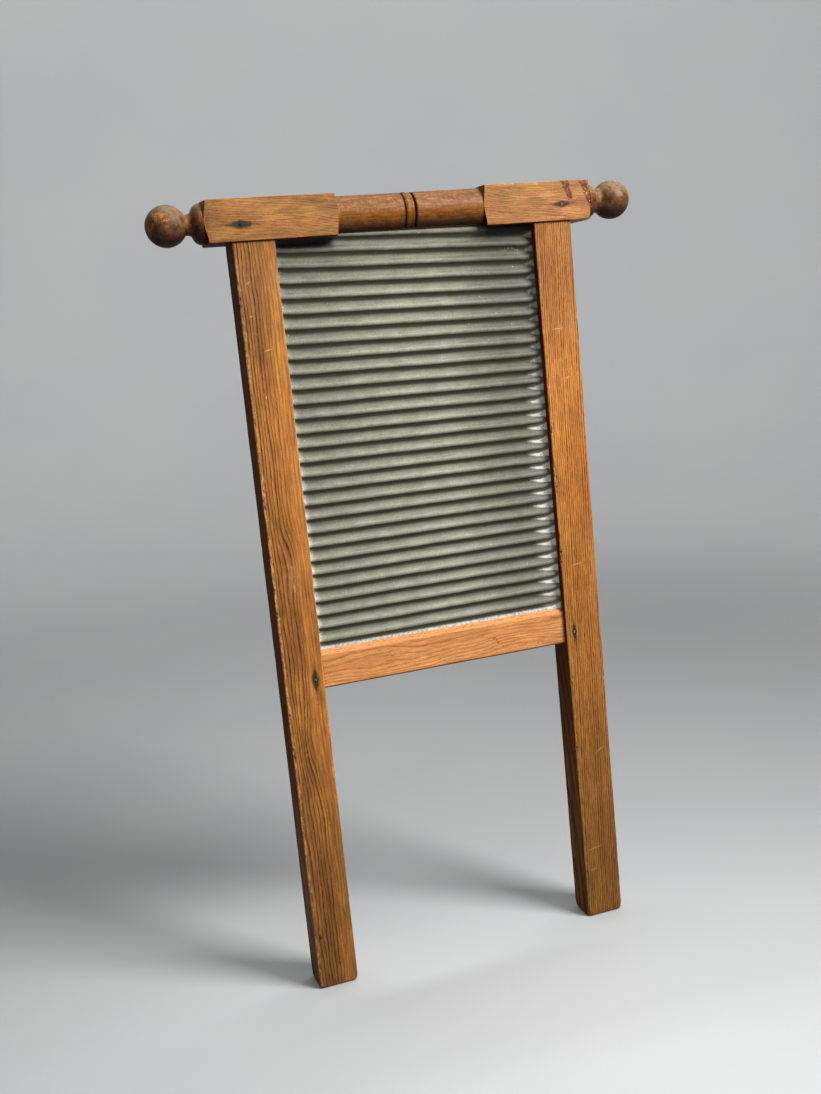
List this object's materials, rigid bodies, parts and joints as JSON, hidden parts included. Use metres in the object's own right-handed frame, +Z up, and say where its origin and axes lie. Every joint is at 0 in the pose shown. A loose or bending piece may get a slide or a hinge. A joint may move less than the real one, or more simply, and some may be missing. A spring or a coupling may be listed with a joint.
{
  "type": "washboard",
  "caption": "Free-standing washboard: turned top rail with ball ends, two square posts, a bottom rail and a ribbed metal rubbing sheet held in grooves.",
  "frame": {"origin": "midway between the two feet, at mid depth, on the surface the feet stand on", "axes": "+X across the board towards the viewer's right, -Y towards the rubbing side, +Z up along the posts"},
  "size_m": [0.4208, 0.033, 0.663],
  "materials": {
    "top_rail_wood": "worn varnish on the turned parts, bare on the square blocks",
    "post_wood": "bare aged pine, oiled by use",
    "bottom_rail_wood": "bare aged pine",
    "zinc_sheet": "dull weathered zinc with polished rib crests",
    "nail_iron": "dark rusted iron"
  },
  "bodies": {
    "root": {"top_rail": "top_rail_wood", "left_post": "post_wood", "right_post": "post_wood", "bottom_rail": "bottom_rail_wood", "ribbed_sheet": "zinc_sheet", "top_rail_nails": "nail_iron", "bottom_rail_nails": "nail_iron"}
  },
  "joints": []
}
